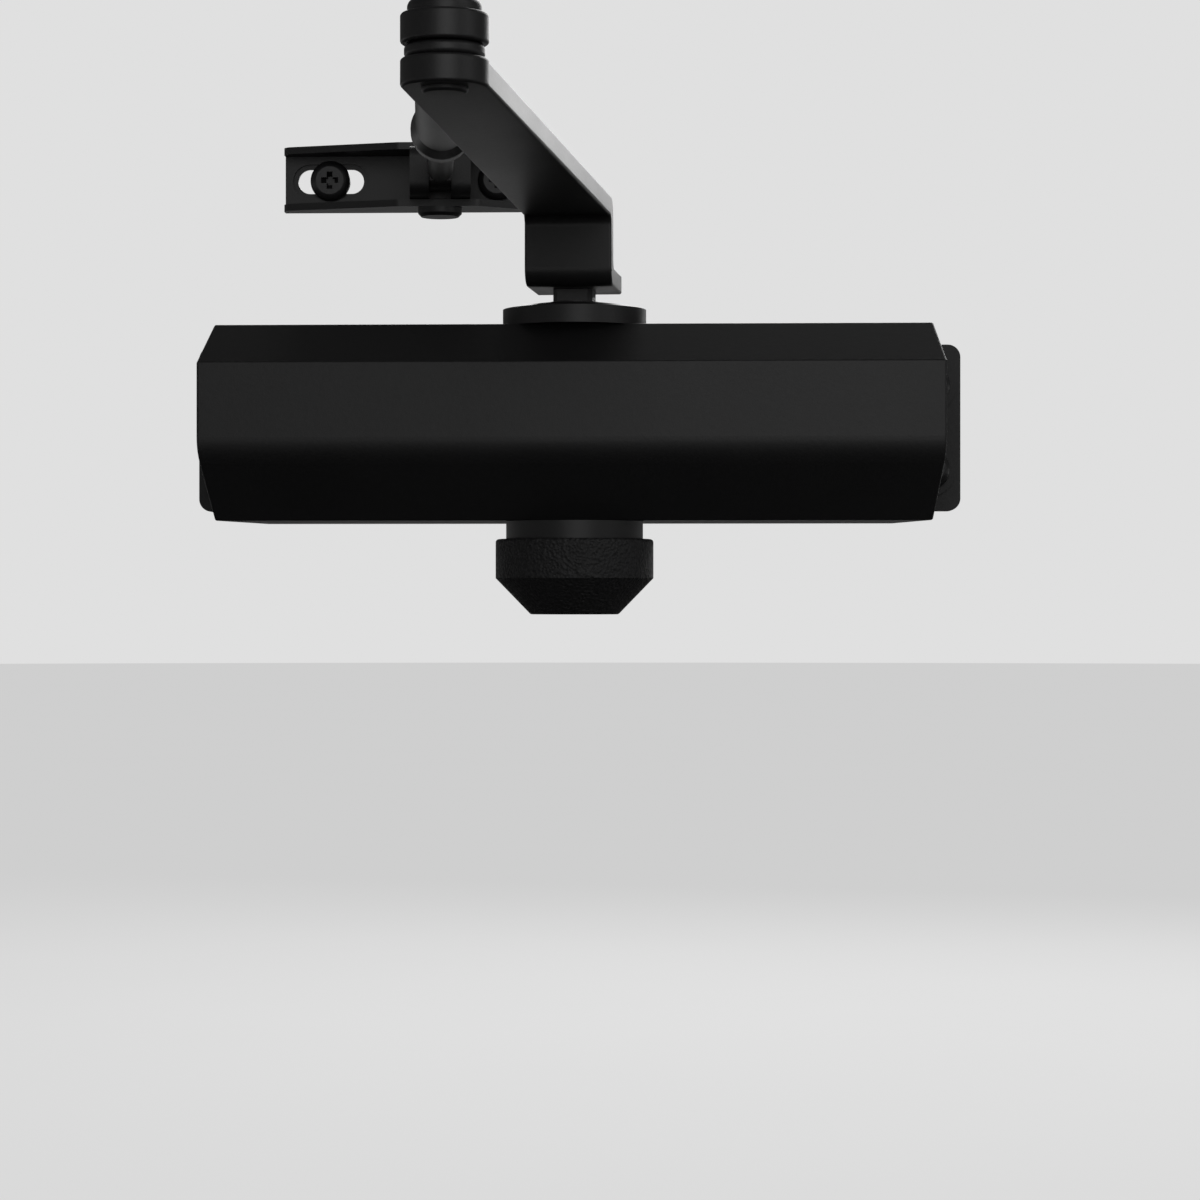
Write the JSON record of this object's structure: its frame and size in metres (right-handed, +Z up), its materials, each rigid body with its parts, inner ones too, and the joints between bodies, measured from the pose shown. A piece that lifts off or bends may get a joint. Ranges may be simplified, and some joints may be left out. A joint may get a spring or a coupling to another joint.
{
  "type": "door closer",
  "caption": "Surface-mounted hydraulic door closer in satin black with a bevelled cover, a two-piece arm and a frame shoe.",
  "frame": {"origin": "centre of the four body screws, on the face that lies on the door", "axes": "+X right along the body, +Y into the door, +Z up"},
  "size_m": [0.242, 0.3302, 0.1512],
  "materials": {
    "black_cover": "satin black powder coat",
    "black_casting": "satin black paint",
    "black_screw": "black finish",
    "black_steel": "satin black paint",
    "grained_plastic": "fine moulded grain",
    "spring_steel": "oiled",
    "zinc_steel": "zinc plated",
    "ground_steel": "ground",
    "brass_valve": "turned",
    "bronze": "sintered",
    "seal_rubber": "nitrile"
  },
  "bodies": {
    "closer_body": {"cover": "black_cover", "body_casting": "black_casting", "body_screws": "black_screw", "cover_clips": "spring_steel", "left_end_plug": "zinc_steel", "right_end_plug": "zinc_steel", "end_plug_seals": "seal_rubber", "valve_seals": "seal_rubber", "upper_bearing_sleeve": "bronze", "lower_bearing_sleeve": "bronze", "upper_shaft_seal": "seal_rubber", "lower_shaft_seal": "seal_rubber", "spindle_flange": "black_steel", "lower_neck_nut": "black_steel", "spindle_cap": "grained_plastic", "return_spring": "spring_steel", "spring_seat": "zinc_steel"},
    "sweep_screw": {"sweep_valve": "brass_valve"},
    "latch_screw": {"latch_valve": "brass_valve"},
    "piston_group": {"piston": "ground_steel", "piston_seals": "seal_rubber", "check_ball": "ground_steel", "check_ball_retainer": "zinc_steel"},
    "arm_group": {"pinion_shaft": "black_steel", "main_arm": "black_steel", "arm_screw": "black_screw", "arm_washer": "black_screw", "elbow_bush": "black_steel", "elbow_rivet": "black_steel"},
    "forearm_group": {"forearm_socket": "black_steel", "forearm_clamp_screw": "black_screw"},
    "rod_group": {"forearm_rod": "black_steel"},
    "knuckle_group": {"shoe_knuckle": "black_casting", "knuckle_pin": "black_steel"},
    "shoe_group": {"shoe_bracket": "black_steel", "shoe_rivet": "black_steel", "shoe_screws": "black_screw"}
  },
  "joints": [
    {"name": "arm_swing", "type": "hinge", "parent": "closer_body", "child": "arm_group", "pos_m": [0, -0.028, 0], "axis": [0, 0, -1], "range_deg": [0, 170], "stiffness_Nm_per_rad": 4.5, "springref_deg": -68.75},
    {"name": "piston_slide", "type": "slide", "parent": "closer_body", "child": "piston_group", "axis": [1, 0, 0], "range_m": [-0.02374, 0], "deforming": ["return_spring"]},
    {"name": "elbow_pivot", "type": "hinge", "parent": "arm_group", "child": "forearm_group", "pos_m": [-0.01694, -0.28995, 0.076], "axis": [0, 0, 1], "range_deg": [-3, 150]},
    {"name": "forearm_length", "type": "slide", "parent": "forearm_group", "child": "rod_group", "axis": [-0.0948, 0.9955, 0], "range_m": [-0.015, 0.02]},
    {"name": "knuckle_tilt", "type": "hinge", "parent": "rod_group", "child": "knuckle_group", "pos_m": [-0.04231, -0.02345, 0.0786], "axis": [0.9955, 0.0948, 0], "range_deg": [-4, 4]},
    {"name": "shoe_swivel", "type": "hinge", "parent": "knuckle_group", "child": "shoe_group", "pos_m": [-0.0433, -0.013, 0.0794], "axis": [0, 0, 1], "range_deg": [-75, 75]},
    {"name": "sweep_valve_turn", "type": "hinge", "parent": "closer_body", "child": "sweep_screw", "pos_m": [0.09, -0.0353, 0.0062], "axis": [1, 0, 0], "range_deg": [-180, 180]},
    {"name": "latch_valve_turn", "type": "hinge", "parent": "closer_body", "child": "latch_screw", "pos_m": [0.09, -0.0353, -0.0062], "axis": [1, 0, 0], "range_deg": [-180, 180]}
  ],
  "couplings": [
    {"joint": "piston_slide", "follows": "arm_swing", "m_per_rad": -0.008}
  ]
}
